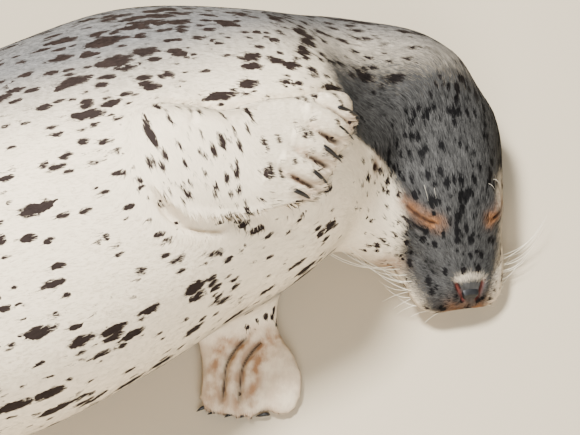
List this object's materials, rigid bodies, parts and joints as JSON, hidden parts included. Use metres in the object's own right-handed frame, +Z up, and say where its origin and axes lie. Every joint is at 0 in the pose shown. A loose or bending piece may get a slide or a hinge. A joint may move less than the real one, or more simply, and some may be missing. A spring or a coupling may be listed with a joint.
{
  "type": "harbor seal",
  "caption": "Life-size harbor seal asleep on its left side, its head turned to the ground, the right fore flipper over its neck and the left one palm up.",
  "frame": {"origin": "middle of the footprint, on the floor that the seal lies on", "axes": "+X runs along the seal towards its head, +Y towards its back, +Z up; the nose points towards -Y"},
  "size_m": [1.5028, 0.6776, 0.3379],
  "materials": {
    "coat": "short sleek fur, pale with dark blotches",
    "crown_coat": "short sleek fur, dark grey",
    "nose": "bare damp skin, black",
    "claw": "horn, dark grey"
  },
  "bodies": {
    "root": {"head": "crown_coat", "muzzle": "crown_coat", "nose": "nose", "lower_jaw": "coat", "eyelid_upper_right": "coat", "eyelid_upper_left": "coat", "eyelid_lower_right": "coat", "eyelid_lower_left": "coat", "ear_right": "coat", "ear_left": "coat", "neck": "coat", "chest": "coat", "belly": "coat", "hips": "coat", "tail": "coat", "forearm_right": "coat", "hand_right": "coat", "forearm_left": "coat", "hand_left": "coat", "hind_flipper_right": "coat", "hind_flipper_left": "coat", "claw_fore_right_1": "claw", "claw_fore_right_2": "claw", "claw_fore_right_3": "claw", "claw_fore_right_4": "claw", "claw_fore_right_5": "claw", "claw_fore_left_1": "claw", "claw_fore_left_2": "claw", "claw_fore_left_3": "claw", "claw_fore_left_4": "claw", "claw_fore_left_5": "claw", "claw_hind_right_1": "claw", "claw_hind_right_2": "claw", "claw_hind_right_3": "claw", "claw_hind_right_4": "claw", "claw_hind_right_5": "claw", "claw_hind_left_1": "claw", "claw_hind_left_2": "claw", "claw_hind_left_3": "claw", "claw_hind_left_4": "claw", "claw_hind_left_5": "claw"}
  },
  "joints": []
}
